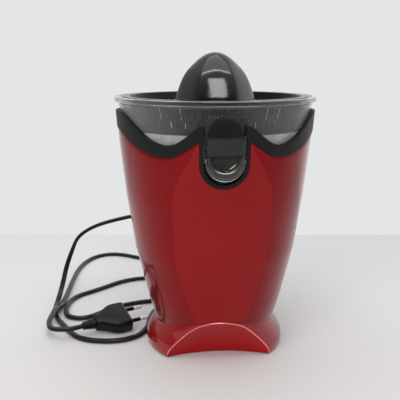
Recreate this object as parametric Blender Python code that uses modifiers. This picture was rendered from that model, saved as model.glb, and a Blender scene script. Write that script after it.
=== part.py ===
"""Electric citrus press: a red vase-shaped stand with a clear juice bowl, a strainer and a ribbed cone.

Metres, +Z up. The spindle is the Z axis, the table is z = 0 and the spout faces -Y.
Profiles are (radius, height) pairs in millimetres; MM turns them into metres.
"""
import math
import bpy
import bmesh
from mathutils import Matrix, Vector

MM = 0.001
GAP = 0.3 * MM                       # between pieces that touch
SEAM_HALF = 0.3 * MM                 # half the gap between the two red shells

# Driving dimensions
APEX_Z = 279.5 * MM                  # top of the cone
SKIN = 2.4 * MM                      # wall of the red shells and the foot
BODY_PROFILE = [(57.0, 20), (58.3, 25), (65.5, 50), (77.0, 100), (84.3, 150), (89.5, 200), (91.4, 228)]
SEAM_LOW = 26.0 * MM                 # height of the body's lower edge at its sides
SEAM_RISE = 14.0 * MM                # how much higher that edge is at the front
PANEL_HALF = [(30, 17.0), (42, 21.5), (58, 25.5), (87, 30.5), (118, 31.4), (150, 30.5), (166, 28.6),
              (174, 25.8), (184, 22.5), (198, 16.5), (232, 10.0)]     # (height, half width in degrees)
PANEL_FLAT = 0.28                    # 0 follows the round body, 1 is a flat facet
U_HALF = 20.8 * MM                   # half width of the opening for the spout
U_BOTTOM = 168.0 * MM
U_BAND = 3.6 * MM                    # black lining of that opening
TRIM_WALL = 3.2 * MM
COLLAR_COLUMNS = 52                  # shared by the collar and the scalloped edge below it
COLLAR_PROUD = 0.6 * MM              # how far the collar stands out from the red skin
SCALLOP_SPARE = 3.0 * MM             # red skin above the scallops, cut away by them
SHAFT_R = 4.0                        # across the corners of the six-sided spindle, halved, millimetres
IDLER = Vector((24 * MM, 0))         # gear and motor axes, from the spindle
MOTOR = Vector((0, 7 * MM))
CORD_WIDTH = 5.4 * MM
CORD_EXIT_Z = 106.0 * MM

for old in list(bpy.data.objects):
    bpy.data.objects.remove(old, do_unlink=True)


def collection(name):
    made = bpy.data.collections.new(name)
    bpy.context.scene.collection.children.link(made)
    return made


PARTS = collection("citrus_press")
CUTTERS = collection("cutters")


def material(name, colour, roughness, metallic=0.0, alpha=1.0):
    made = bpy.data.materials.new(name)
    made.use_nodes = True
    shader = made.node_tree.nodes["Principled BSDF"]
    shader.inputs["Base Color"].default_value = (*colour, 1.0)
    shader.inputs["Roughness"].default_value = roughness
    shader.inputs["Metallic"].default_value = metallic
    shader.inputs["Alpha"].default_value = alpha
    return made


RED = material("red_gloss", (0.27, 0.013, 0.018), 0.22, 0.35)
TRIM = material("matte_black", (0.018, 0.020, 0.022), 0.6)
CONE = material("gloss_black", (0.013, 0.013, 0.014), 0.16)
SMOKE = material("smoke", (0.07, 0.07, 0.07), 0.2, 0.0, 0.75)
CLEAR = material("clear", (0.75, 0.77, 0.78), 0.08, 0.0, 0.35)
DARK = material("dark_plastic", (0.03, 0.03, 0.032), 0.5)
RUBBER = material("rubber", (0.02, 0.02, 0.02), 0.8)
STEEL = material("steel", (0.55, 0.56, 0.57), 0.35, 1.0)
COPPER = material("copper", (0.62, 0.27, 0.12), 0.4, 1.0)
BRASS = material("brass", (0.70, 0.52, 0.22), 0.35, 1.0)
NYLON = material("nylon", (0.80, 0.79, 0.74), 0.45)


def add_object(name, mesh, paint, smooth=35):
    """Link a mesh as a named part; smooth is the angle above which an edge stays sharp."""
    made = bpy.data.objects.new(name, mesh)
    if paint is None:
        CUTTERS.objects.link(made)
        made.hide_render = True
        made.display_type = "WIRE"
    else:
        PARTS.objects.link(made)
        mesh.materials.append(paint)
        mesh.shade_smooth()
        mesh.set_sharp_from_angle(angle=math.radians(smooth))
    return made


def from_bmesh(name, bm, paint, smooth=35):
    mesh = bpy.data.meshes.new(name)
    bm.to_mesh(mesh)
    bm.free()
    return add_object(name, mesh, paint, smooth)


def box(name, low, high, paint=None):
    """A box between two corners given in millimetres."""
    bm = bmesh.new()
    low = Vector(low) * MM
    high = Vector(high) * MM
    bmesh.ops.create_cube(bm, size=1.0)
    for vert in bm.verts:
        vert.co = (low + high) / 2 + Vector(a * b for a, b in zip(vert.co, high - low))
    return from_bmesh(name, bm, paint)


def rod(name, radius, z0, z1, paint=None, at=(0, 0), sides=20, top=None):
    """An upright cylinder, or a cone where top gives another upper radius; millimetres."""
    bm = bmesh.new()
    upper = radius if top is None else top
    bmesh.ops.create_cone(bm, cap_ends=True, segments=sides, radius1=radius * MM, radius2=upper * MM,
                          depth=(z1 - z0) * MM)
    made = from_bmesh(name, bm, paint)
    made.location = (at[0] * MM, at[1] * MM, (z0 + z1) / 2 * MM)
    return made


def turned(name, profile, paint=None, steps=48, at=(0, 0), closed=True):
    """Turn a profile about the Z axis; it runs from its top down the outer side and back up inside."""
    bm = bmesh.new()
    verts = [bm.verts.new((r * MM, 0, z * MM)) for r, z in profile]
    ends = verts[1:] + verts[:1] if closed else verts[1:]
    for a, b in zip(verts, ends):
        if a.co.x > 0 or b.co.x > 0:
            bm.edges.new((a, b))
    made = from_bmesh(name, bm, paint)
    made.location = (at[0] * MM, at[1] * MM, 0)
    screw = made.modifiers.new("turn", "SCREW")
    screw.steps = steps
    screw.render_steps = steps
    screw.merge_threshold = 0.00001
    screw.use_merge_vertices = True
    return made


def boolean(target, tool, operation="DIFFERENCE"):
    step = target.modifiers.new(operation.lower(), "BOOLEAN")
    step.operation = operation
    step.solver = "EXACT"
    step.object = tool
    return step


def apply_modifiers(made, smooth=35):
    """Replace the object's mesh with its evaluated one."""
    bpy.context.view_layer.update()
    graph = bpy.context.evaluated_depsgraph_get()
    mesh = bpy.data.meshes.new_from_object(made.evaluated_get(graph))
    made.modifiers.clear()
    made.data = mesh
    if mesh.materials:
        mesh.shade_smooth()
        mesh.set_sharp_from_angle(angle=math.radians(smooth))
    return made


def join(first, second):
    """Put two separate cutters in one object."""
    if first is None:
        return second
    bm = bmesh.new()
    bm.from_mesh(first.data)
    bm.from_mesh(second.data)
    bm.to_mesh(first.data)
    bm.free()
    bpy.data.objects.remove(second, do_unlink=True)
    return first


def interpolate(table, x):
    """Straight-line value from (x, y) pairs in order of x."""
    for (x0, y0), (x1, y1) in zip(table, table[1:]):
        if x <= x1:
            return y0 + (y1 - y0) * max(0.0, x - x0) / (x1 - x0)
    return table[-1][1]


def swing(low, high, start, end, x):
    """Half a cosine from low at start to high at end."""
    t = min(1.0, max(0.0, (x - start) / (end - start)))
    return low + (high - low) * (1 - math.cos(math.pi * t)) / 2


def body_radius(z):
    return interpolate([(h, r) for r, h in BODY_PROFILE], z / MM) * MM


def panel_half(z):
    return math.radians(interpolate(PANEL_HALF, z / MM))


def skin_radius(angle, z):
    """Radius of the red surface; the lens-shaped front panel is flatter than the round sides."""
    half = panel_half(z)
    if abs(angle) >= half:
        return body_radius(z)
    chord = math.cos(half) / math.cos(angle)
    return body_radius(z) * (1 - PANEL_FLAT * (1 - chord))


def seam_height(angle):
    """Lower edge of the red shells: it climbs towards the front."""
    return SEAM_LOW + SEAM_RISE * max(0.0, math.cos(angle)) ** 3


def fold(angle):
    """Degrees from the nearer of front and back, 0 to 90."""
    turn = abs(math.degrees(angle)) % 360
    turn = min(turn, 360 - turn)
    return min(turn, 180 - turn)


def red_top(angle):
    a = fold(angle)
    height = swing(216, 193.3, 0, 33, a) if a < 33 else swing(193.3, 213, 33, 85, a)
    return (min(height, 209.5) if a < 33 else height) * MM


def trim_top(angle):
    a = fold(angle)
    height = swing(230.6, 203.8, 0, 32, a) if a < 32 else swing(203.8, 228, 32, 73, a)
    return (min(height, 219.8) if a < 32 else height) * MM


def on_body(radius, angle, z):
    """Point at an angle measured from the front."""
    return Vector((radius * math.sin(angle), -radius * math.cos(angle), z))


def loft(name, columns, rows, place, thickness, paint, closed=False):
    """A skin of rows and columns, place(column, row) giving each point, thickened inwards."""
    bm = bmesh.new()
    grid = [[bm.verts.new(place(c / columns, r / rows)) for r in range(rows + 1)]
            for c in range(columns if closed else columns + 1)]
    for c in range(columns):
        here = grid[c]
        beyond = grid[(c + 1) % len(grid)]
        for r in range(rows):
            bm.faces.new((here[r], beyond[r], beyond[r + 1], here[r + 1]))
    made = from_bmesh(name, bm, paint)
    wall = made.modifiers.new("wall", "SOLIDIFY")
    wall.thickness = thickness
    wall.offset = -1
    return made


def slab(name, outline, y0, y1, paint=None):
    """A flat (x, z) outline in millimetres, extruded along Y between y0 and y1."""
    curve = bpy.data.curves.new(name, "CURVE")
    curve.dimensions = "2D"
    curve.fill_mode = "BOTH"
    curve.extrude = (y1 - y0) / 2 * MM
    spline = curve.splines.new("POLY")
    spline.points.add(len(outline) - 1)
    for point, (x, z) in zip(spline.points, outline):
        point.co = (x * MM, z * MM, 0, 1)
    spline.use_cyclic_u = True
    flat = bpy.data.objects.new(name + "_outline", curve)
    PARTS.objects.link(flat)
    bpy.context.view_layer.update()
    mesh = bpy.data.meshes.new_from_object(flat.evaluated_get(bpy.context.evaluated_depsgraph_get()))
    bpy.data.objects.remove(flat, do_unlink=True)
    bm = bmesh.new()
    bm.from_mesh(mesh)
    bmesh.ops.remove_doubles(bm, verts=bm.verts, dist=0.00001)
    bmesh.ops.recalc_face_normals(bm, faces=bm.faces)
    bm.to_mesh(mesh)
    bm.free()
    mesh.transform(Matrix.Translation((0, (y0 + y1) / 2 * MM, 0)) @ Matrix.Rotation(math.pi / 2, 4, "X"))
    return add_object(name, mesh, paint)


def arc(cx, cz, radius, start, end, steps):
    """Points on an arc; angles in degrees, counter-clockwise from +X."""
    turns = [math.radians(start + (end - start) * i / steps) for i in range(steps + 1)]
    return [(cx + radius * math.cos(t), cz + radius * math.sin(t)) for t in turns]


def u_outline(half, bottom, top, steps=12):
    """A slot with a round bottom and a flat top."""
    return arc(0, bottom + half, half, 180, 360, steps) + [(half, top), (-half, top)]


def arch_outline(half, bottom, top, steps=12):
    """A slot with a flat bottom and a round top."""
    return arc(0, top - half, half, 0, 180, steps) + [(-half, bottom), (half, bottom)]


def make_shells():
    side, panel = 9, 6

    def front_place(c, r):
        step = c * (2 * side + panel)
        angle = (c - 0.5) * math.pi
        for _ in range(3):      # the panel's edge depends on the height, so both are refined
            z = seam_height(angle) * (1 - r) + (red_top(angle) + SCALLOP_SPARE) * r
            half = panel_half(z)
            edge = math.pi / 2 - SEAM_HALF / body_radius(z)
            if step < side:
                angle = -edge + (edge - half) * step / side
            elif step > side + panel:
                angle = half + (edge - half) * (step - side - panel) / side
            else:
                angle = half * (2 * (step - side) / panel - 1)
        return on_body(skin_radius(angle, z), angle, z)

    def rear_place(c, r):
        edge = math.pi / 2 + SEAM_HALF / body_radius(SEAM_LOW)
        angle = edge + (2 * math.pi - 2 * edge) * c
        z = seam_height(angle) * (1 - r) + (red_top(angle) + SCALLOP_SPARE) * r
        return on_body(body_radius(z), angle, z)

    def top_place(c, r):
        angle = 2 * math.pi * c
        return on_body(body_radius(red_top(angle)) + 4 * MM, angle, red_top(angle) * (1 - r) + 235 * MM * r)

    scallops = loft("scallops", COLLAR_COLUMNS, 1, top_place, 14 * MM, None, closed=True)
    front = loft("front_shell", 2 * side + panel, 7, front_place, SKIN, RED)
    boolean(front, slab("u_cut", u_outline(U_HALF / MM, U_BOTTOM / MM, 240), -120, -60))
    boolean(front, scallops)
    rear = loft("rear_shell", 20, 5, rear_place, SKIN, RED)
    boolean(rear, scallops)
    hole = rod("exit_cut", 5.0, -15, 15, sides=16)
    hole.matrix_world = Matrix.Translation((0, body_radius(CORD_EXIT_Z), CORD_EXIT_Z)) @ Matrix.Rotation(
        math.pi / 2, 4, "X")
    boolean(rear, hole)


def make_trim():
    def place(c, r):
        angle = 2 * math.pi * c
        z = (red_top(angle) + GAP) * (1 - r) + trim_top(angle) * r
        return on_body(body_radius(z) + COLLAR_PROUD, angle, z)

    def band_place(c, r):
        angle = math.radians(20) * (2 * c - 1)
        z = (164 + 55.8 * r) * MM
        return on_body(skin_radius(angle, z) + COLLAR_PROUD, angle, z)

    trim = loft("trim_collar", COLLAR_COLUMNS, 2, place, TRIM_WALL, TRIM, closed=True)
    outer = U_HALF / MM - GAP / MM
    band = slab("u_band", u_outline(outer, U_BOTTOM / MM + 0.3, 225), -120, -60)
    boolean(band, loft("u_band_depth", 8, 5, band_place, TRIM_WALL, None), "INTERSECT")
    apply_modifiers(band)
    boolean(trim, band, "UNION")
    inner = (U_HALF - U_BAND) / MM
    boolean(trim, slab("u_inner", u_outline(inner, (U_BOTTOM + U_BAND) / MM, 240), -120, -60))


CRESCENT_Y = -169.0 * MM             # axis of the cone that scoops the front of the foot
CRESCENT_R = 132.0 * MM
CRESCENT_SLOPE = 0.60
SCREWS = [(-52, 2), (52, 2), (-22, 48), (22, 48)]
PADS = [(-47, -27), (47, -27), (-40, 38), (40, 38)]


def scoop(name, extra):
    """The cone that hollows the front of the foot, wider by extra."""
    low = CRESCENT_R / MM + extra + CRESCENT_SLOPE * 10
    high = low - CRESCENT_SLOPE * 70
    return rod(name, low, -10, 60, at=(0, CRESCENT_Y / MM), sides=120, top=high)


def rise_to_seam(made):
    """Lift the rim of the foot towards the front so that it meets the red body."""
    for vert in made.data.vertices:
        x, y, z = vert.co
        radius = math.hypot(x, y)
        if radius < 43 * MM:
            continue
        angle = math.atan2(x, -y)
        weight = swing(0, 1, 9 * MM, SEAM_LOW, z)
        raised = z + weight * (seam_height(angle) - SEAM_LOW)
        wider = radius + weight * (skin_radius(angle, raised) - body_radius(SEAM_LOW))
        vert.co = on_body(wider, angle, raised)


def make_foot():
    low = SEAM_LOW / MM - GAP / MM
    foot = turned("foot", [(0, 22), (30, 22), (44, low), (58.6, low), (62.6, 20.5), (66.0, 13),
                           (67.5, 7), (67.2, 2.6), (66.0, 1.2), (0, 1.2)], RED, steps=40, closed=False)
    apply_modifiers(foot)
    rise_to_seam(foot)
    boolean(foot, scoop("scoop_outer", 0))
    hollow = turned("foot_hollow", [(0, 19), (54, 19), (60.5, 16.5), (64.0, 10), (64.8, 6), (64.8, -2),
                                    (0, -2)], None, steps=28, closed=False)
    boolean(hollow, scoop("scoop_inner", 2.6))
    for i, at in enumerate(SCREWS):
        boolean(hollow, rod(f"boss_{i + 1}", 4.0, 5.8, 25, at=at, sides=12))
    apply_modifiers(hollow)
    boolean(foot, hollow)
    for i, at in enumerate(SCREWS):
        boolean(foot, rod(f"boss_hole_{i + 1}", 1.8, 4, 16, at=at, sides=12))
    plate = turned("base_plate", [(0, 5.5), (64.3, 5.5), (64.3, 3.0), (0, 3.0)], DARK, steps=28, closed=False)
    boolean(plate, scoop("scoop_plate", 3.2))
    for i, at in enumerate(SCREWS):
        boolean(plate, rod(f"plate_hole_{i + 1}", 1.9, 0, 8, at=at, sides=12))
        screw = rod(f"base_screw_{i + 1}", 1.5, 2.0, 14, STEEL, at=at, sides=10)
        boolean(screw, rod(f"screw_head_{i + 1}", 3.0, 1.3, 2.7, at=at, sides=14), "UNION")
    for i, at in enumerate(PADS):
        rod(f"rubber_foot_{i + 1}", 6.4, 0, 2.7, RUBBER, at=at, sides=20, top=7.0)


HOOD_HALF = 14.5                     # clear hood over the outlet, millimetres
HOOD_TOP = 227.0
HOOD_LOW = 197.0
OUTLET_HALF = 12.4
SPOUT_PIVOT = Vector((0, -84.6 * MM, 195.5 * MM))


def make_bowl():
    bowl = turned("juice_bowl", [
        (92.0, 240.4), (93.0, 239.6), (93.0, 236.2), (90.2, 235.4), (88.3, 229), (87.2, 215), (85.2, 203),
        (81.2, 193.5), (76.5, 188), (11.2, 188), (11.2, 215), (13.4, 215), (13.4, 190.2), (75.6, 190.2),
        (79.3, 194.8), (83.1, 204), (85.0, 215.5), (86.0, 228.5), (86.5, 236.9), (81.7, 237.1), (81.7, 238.8),
        (88.4, 238.9), (89.2, 240.4)], CLEAR, steps=40)
    hood = slab("hood", arch_outline(HOOD_HALF, HOOD_LOW, HOOD_TOP), -91, -80)
    keep = turned("outside_wall", [(100, 233.5), (100, 190), (81, 190), (84, 204), (86, 215.5), (87, 229),
                                   (88, 233.5)], None, steps=40)
    boolean(hood, keep, "INTERSECT")
    apply_modifiers(hood)
    boolean(bowl, hood, "UNION")
    boolean(bowl, slab("outlet", arch_outline(OUTLET_HALF, 190.6, HOOD_TOP - 2.2), -89, -72))


def make_spout():
    """Swinging trough under the hood, with a crescent lip; its origin is on its hinge axis."""
    centre = HOOD_LOW - 0.6
    trough = slab("drip_stop_spout", u_outline(HOOD_HALF, centre - HOOD_HALF, centre), -92.6, -83.4, CLEAR)
    inside = u_outline(OUTLET_HALF, centre - OUTLET_HALF, centre + 5)
    boolean(trough, slab("trough_inside", inside, -100, -85.4))
    outer = arc(0, 192.6, 16.3, 180, 360, 14)
    inner = arc(0, 196.6, 14.0, 342, 198, 14)
    boolean(trough, slab("lip", outer + inner, -92.6, -90.4), "UNION")
    apply_modifiers(trough)
    trough.data.transform(Matrix.Translation(-SPOUT_PIVOT))
    trough.location = SPOUT_PIVOT


WALL_SLOT = ((-1.2, 68, 217), (1.2, 88, 233))       # corners, millimetres
FLOOR_SLOT = ((-1.3, 48, 206), (1.3, 66, 214))
SLOTS = 12                           # round the strainer's wall, and as many in its floor


def make_strainer():
    strainer = turned("strainer", [
        (85.3, 240.5), (85.3, 239.3), (81.2, 239.1), (80.4, 236), (78.9, 221), (77.0, 213), (73.5, 209.6),
        (44.5, 209.6), (42.6, 202.2), (15.6, 202.2), (15.6, 205.5), (17.4, 205.5), (17.4, 204.0), (41.2, 204.0),
        (43.3, 211.4), (72.7, 211.4), (75.3, 214), (77.1, 221.5), (78.8, 237.0), (79.2, 240.5)], SMOKE, steps=32)
    slots = None
    for i in range(SLOTS):
        turn = Matrix.Rotation(math.tau * (i + 0.5) / SLOTS, 4, "Z")
        for low, high in (WALL_SLOT, FLOOR_SLOT):
            slot = box(f"slot_{i + 1}", low, high)
            slot.data.transform(turn)
            slots = join(slots, slot)
    boolean(strainer, slots)


CONE_PROFILE = [(3.4, 279.1), (11.3, 275.9), (18.2, 270.2), (25.1, 262.8), (29.8, 254.9), (33.3, 245.6),
                (35.6, 237.5), (37.4, 226), (38.6, 207.6)]
RIBS = 6
RIB_PHASE = -2.4                     # degrees, at rest
FLUTE_DEPTH = 0.17


def make_cone():
    profile = [(0, APEX_Z / MM)] + CONE_PROFILE + [(0, CONE_PROFILE[-1][1])]
    cone = turned("reamer_cone", profile, CONE, steps=36, closed=False)
    apply_modifiers(cone, 30)
    step = math.tau / RIBS
    for vert in cone.data.vertices:
        radius = math.hypot(vert.co.x, vert.co.y)
        if radius < 0.1 * MM:
            continue
        angle = math.atan2(vert.co.x, -vert.co.y)
        off = abs((angle / step) % 1 * 2 - 1)
        depth = FLUTE_DEPTH * swing(0.25, 1, 0, 20 * MM, APEX_Z - vert.co.z)
        fluted = radius * (1 - depth * (1 - (1 - off) ** 2))
        vert.co = on_body(fluted, angle + math.radians(RIB_PHASE), vert.co.z)
    hollow = [(15, 254), (26.5, 224), (28, 206), (9, 206), (9, 254)]
    boolean(cone, turned("cone_hollow", hollow, None, steps=24))
    boolean(cone, rod("cone_socket", SHAFT_R + GAP / MM, 200, 244, sides=6))


PRESSURE_ANGLE = 20.0                # degrees
ADDENDUM = 0.8                       # tooth height outside and inside the pitch circle, in modules
DEDENDUM = 1.15
BACKLASH = 0.22                      # millimetres


def gear_outline(teeth, module, phase=0.0):
    """Involute tooth flanks as two points each, in millimetres, starting at an angle in radians."""
    pitch = teeth * module / 2
    base = pitch * math.cos(math.radians(PRESSURE_ANGLE))
    radii = [pitch - DEDENDUM * module, pitch + ADDENDUM * module]

    def flank(radius):
        turn = math.acos(min(1.0, base / radius))
        at_pitch = math.radians(PRESSURE_ANGLE)
        curve = (math.tan(at_pitch) - at_pitch) - (math.tan(turn) - turn)
        return math.pi / (2 * teeth) - BACKLASH / (2 * pitch) + curve

    points = []
    for i in range(teeth):
        middle = phase + math.tau * i / teeth
        points += [(r, middle - flank(r)) for r in radii]
        points += [(r, middle + flank(r)) for r in reversed(radii)]
    return [(r * math.cos(a), r * math.sin(a)) for r, a in points]


def gear(name, teeth, z0, z1, at, paint, phase=0.0, bore=None, sides=16):
    """A spur gear of module 1 standing on Z, with its origin on its axis."""
    made = slab(name, gear_outline(teeth, 1.0, phase=phase), 0, z1 - z0, paint)
    made.data.transform(Matrix.Rotation(-math.pi / 2, 4, "X"))
    low = min(v.co.z for v in made.data.vertices)
    made.data.transform(Matrix.Translation((0, 0, z0 * MM - low)))
    made.location = (at[0], at[1], 0)
    if bore:
        boolean(made, rod(name + "_bore", bore, z0 - 5, z1 + 20, at=(at[0] / MM, at[1] / MM), sides=sides))
    return made


PINION_TEETH = 10
WHEEL_TEETH = 40
SMALL_TEETH = 12
OUTPUT_TEETH = 36
HOUSING_X = 13.0
WALL_SCREWS = [(HOUSING_X + 36.7 * math.cos(math.radians(a)), 36.7 * math.sin(math.radians(a)))
               for a in (30, 150, 270)]


def facing(origin, other, teeth, space):
    """Phase that turns a tooth, or the space between two, from one gear axis towards another."""
    angle = math.atan2(other[1] - origin[1], other[0] - origin[0])
    return angle + (math.pi / teeth if space else 0.0)


def make_gears():
    spindle = (0.0, 0.0)
    gear("motor_pinion", PINION_TEETH, 126.3, 133.4, MOTOR, BRASS,
         facing(MOTOR, IDLER, PINION_TEETH, False), 2.8)
    idler = gear("idler_gear", WHEEL_TEETH, 126.3, 133.0, IDLER, NYLON,
                 facing(IDLER, MOTOR, WHEEL_TEETH, True))
    small = gear("idler_small", SMALL_TEETH, 132.0, 148.6, IDLER, None,
                 facing(IDLER, spindle, SMALL_TEETH, False))
    boolean(idler, small, "UNION")
    boolean(idler, rod("idler_bore", 2.3, 120, 160, at=IDLER / MM, sides=12))
    gear("output_gear", OUTPUT_TEETH, 141.0, 148.4, spindle, NYLON,
         facing(spindle, IDLER, OUTPUT_TEETH, True), SHAFT_R + GAP / MM, 6)
    rod("idler_axle", 2.0, 123.2, 151.8, STEEL, at=IDLER / MM, sides=12)


def make_gearbox():
    housing = turned("gearbox_housing", [
        (0, 124.5), (34, 124.5), (34, 152), (39.5, 152), (39.5, 122), (0, 122)],
        DARK, steps=24, at=(HOUSING_X, 0), closed=False)
    boolean(housing, box("web", (-8, -34, 136.2), (8, 34, 139.2)), "UNION")
    boolean(housing, rod("web_hole", 5.3, 130, 145, sides=16))
    boolean(housing, rod("shaft_hole", 5.3, 115, 130, at=MOTOR / MM, sides=16))
    boolean(housing, rod("axle_socket", 2.3, 122.9, 126, at=IDLER / MM, sides=12))
    cover = turned("gearbox_cover", [(0, 155), (39.5, 155), (39.5, 152.3), (0, 152.3)], DARK, steps=24,
                   at=(HOUSING_X, 0), closed=False)
    boolean(cover, rod("cover_hole", 4.6, 150, 160, sides=16))
    for i, at in enumerate(WALL_SCREWS):
        boolean(housing, rod(f"wall_hole_{i + 1}", 1.5, 142, 160, at=at, sides=8))
        boolean(cover, rod(f"cover_hole_{i + 1}", 1.5, 150, 160, at=at, sides=8))
        screw = rod(f"gearbox_screw_{i + 1}", 1.2, 143, 156, STEEL, at=at, sides=8)
        boolean(screw, rod(f"gearbox_head_{i + 1}", 2.4, 155.3, 156.8, at=at, sides=12), "UNION")
    turned("spindle_bush", [(5.0, 139.6), (5.0, 135.9), (4.1, 135.9), (4.1, 139.6)], BRASS, steps=16)
    turned("upper_bush", [(5.0, 125.4), (5.0, 121.2), (2.6, 121.2), (2.6, 125.4)], BRASS, steps=16,
           at=MOTOR / MM)
    turned("drive_deck", [
        (80.8, 186.8), (80.8, 171), (79, 171), (79, 174), (8.2, 174), (8.2, 200), (10.6, 200), (10.6, 176.8),
        (66, 176.8), (66, 187.6), (69, 187.6), (69, 176.8), (79, 176.8), (79, 186.8)], DARK, steps=28)


def make_spindle():
    spindle = rod("drive_spindle", SHAFT_R, 138.5, 242, STEEL, sides=6)
    apply_modifiers(spindle)
    spindle.data.transform(Matrix.Translation(spindle.location))
    spindle.location = (0, 0, 0)
    boolean(spindle, rod("spindle_flange", 6.5, 170.6, 172.6, sides=16), "UNION")
    boolean(spindle, rod("spindle_shoulder", 6.2, 203.6, 207.3, sides=16), "UNION")
    turned("thrust_collar", [(15, 170.3), (15, 167.3), (4.4, 167.3), (4.4, 170.3)], DARK, steps=20)
    curve = bpy.data.curves.new("return_spring", "CURVE")
    curve.dimensions = "3D"
    curve.bevel_depth = 0.6 * MM
    curve.bevel_resolution = 0
    curve.use_fill_caps = True
    spline = curve.splines.new("POLY")
    low, high, radius = 155.95, 166.35, 6.6
    turns = 4
    per_turn = 9
    spline.points.add(turns * per_turn)
    for i, point in enumerate(spline.points):
        angle = math.tau * i / per_turn
        height = low + (high - low) * i / (turns * per_turn)
        point.co = (radius * MM * math.cos(angle), radius * MM * math.sin(angle), height * MM, 1)
    curve.materials.append(STEEL)
    PARTS.objects.link(bpy.data.objects.new("return_spring", curve))
    switch = box("microswitch", (9.4, -10, 155.3), (20, 10, 163.5), DARK)
    boolean(switch, rod("switch_hole", 1.5, 157, 170, at=(12.6, 0), sides=12))
    rod("switch_button", 1.2, 160.6, 166.9, NYLON, at=(12.6, 0), sides=12)


def make_motor():
    at = MOTOR / MM
    core = box("stator_core", (-18, -9, 76), (18, 50, 94), STEEL)
    boolean(core, rod("rotor_bore", 13.3, 60, 110, at=at, sides=28))
    boolean(core, box("core_window", (-12, 25.5, 60), (12, 41, 110)))
    coil = box("stator_coil", (-11.5, 32, 67), (11.5, 58.5, 103), COPPER)
    boolean(coil, box("coil_window", (-20, 40.7, 75.7), (20, 50.3, 94.3)))
    bracket = box("motor_bracket", (-20, -10, 62), (20, 30, 65), STEEL)
    boolean(bracket, rod("bracket_hole", 5.3, 55, 70, at=at, sides=16))
    for i, spot in enumerate([(-15, -5.5), (15, 21)]):
        boolean(core, rod(f"core_hole_{i + 1}", 2.1, 70, 100, at=spot, sides=10))
        boolean(bracket, rod(f"bracket_hole_{i + 1}", 2.1, 55, 70, at=spot, sides=10))
        bolt = rod(f"motor_bolt_{i + 1}", 1.8, 60, 121.7, STEEL, at=spot, sides=10)
        boolean(bolt, rod(f"bolt_head_{i + 1}", 3.4, 58.8, 61.7, at=spot, sides=6), "UNION")
    turned("lower_bush", [(5.0, 66), (5.0, 61), (2.6, 61), (2.6, 66)], BRASS, steps=16, at=at)
    rod("rotor_shaft", 2.5, 59, 134.2, STEEL, at=at, sides=12)
    turned("rotor_core", [(12.9, 96), (12.9, 74), (2.8, 74), (2.8, 96)], STEEL, steps=24, at=at)
    fan = turned("cooling_fan", [
        (16.5, 106), (16.5, 104.4), (2.8, 104.4), (2.8, 112), (5, 112), (5, 106)], DARK, steps=20, at=at)
    for i in range(6):
        blade = box(f"blade_{i + 1}", (4.2, -0.6, 105), (16.2, 0.6, 111))
        turn = Matrix.Rotation(math.tau * i / 6 + 0.2, 4, "Z")
        blade.matrix_world = Matrix.Translation(MOTOR.to_3d()) @ turn
        boolean(fan, blade, "UNION")
    box("terminal_block", (12, 24, 110), (34, 34, 121.7), NYLON)


def make_gland():
    gland = turned("cord_gland", [(3.9, 92), (5.6, 81.2), (7.0, 81.0), (7.0, 79.4), (4.6, 79.4), (4.6, 73.5),
                                  (7.0, 73.5), (7.0, 71.5), (3.1, 71.5), (3.1, 92)], DARK, steps=16)
    apply_modifiers(gland)
    gland.data.transform(Matrix.Rotation(-math.pi / 2, 4, "X"))
    gland.location = (0, 0, CORD_EXIT_Z)


# Route of the flat mains lead, from the gland down to the table and round to the plug, millimetres
CORD_ROUTE = [
    (0, 77, 106), (0, 93, 106), (-5, 108, 105.5), (-22, 121, 103), (-52, 124, 100), (-88, 119, 94.5),
    (-119, 123, 86), (-138, 127, 77), (-150, 128, 67), (-157, 127, 53), (-163.5, 122, 35), (-167, 114, 20),
    (-169.5, 104, 9.5), (-171, 92, 4), (-171, 78, 3), (-169.5, 63, 3), (-165, 47, 3), (-157, 31, 3),
    (-148, 15, 3), (-139, 1, 3), (-128, -7.5, 3), (-115, -11.5, 3), (-102, -12.5, 3),
    (-89, -10, 3), (-76, -1, 3), (-68, 16, 3), (-65, 38, 3), (-60, 58, 3), (-48, 76, 3),
    (-30, 91, 3), (-10, 103, 3), (2, 120, 3), (-3, 142, 3), (-22, 156, 3), (-48, 161, 3),
    (-72, 162, 3), (-88, 159, 3), (-104, 150, 3), (-119, 136, 3), (-134, 122, 3), (-147, 111, 3),
    (-155.5, 97, 3), (-158.5, 80, 3), (-157.5, 62.5, 3), (-152.2, 49.8, 3), (-139.5, 44.5, 3),
    (-126.8, 49.8, 3), (-114, 62.5, 3), (-98, 75, 3), (-80, 83, 3), (-62, 88, 3), (-44, 97, 3),
    (-27, 113, 3), (-14, 132, 6), (-6, 150, 9.7), (-6, 172, 6), (-16, 196, 3), (-36, 218, 3),
    (-60, 233, 3), (-84, 246, 3), (-104, 260, 3), (-123, 265, 3), (-142, 254, 3),
    (-155, 230, 3), (-161, 199, 3), (-163, 162, 3), (-163.5, 126, 3), (-164, 101, 3),
    (-164.5, 84, 3.2), (-165.5, 68, 6.6), (-167, 53, 9.8), (-167.5, 38, 10.4), (-168, 20, 10.4),
    (-164.8, 5.9, 10.3), (-156.7, -0.4, 10.6), (-144, 0.1, 10.5)]
PLUG_BASE = Vector((-133, 5, 10.6)) * MM          # where the cord meets the plug's boot
PLUG_HEADING = 24.0                                # degrees: turned, raised and rolled on the table
PLUG_RAISE = 1.5
PLUG_ROLL = 15.0
CORD_STEP = 19 * MM
PIN_SPACING = 18.6 * MM


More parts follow.
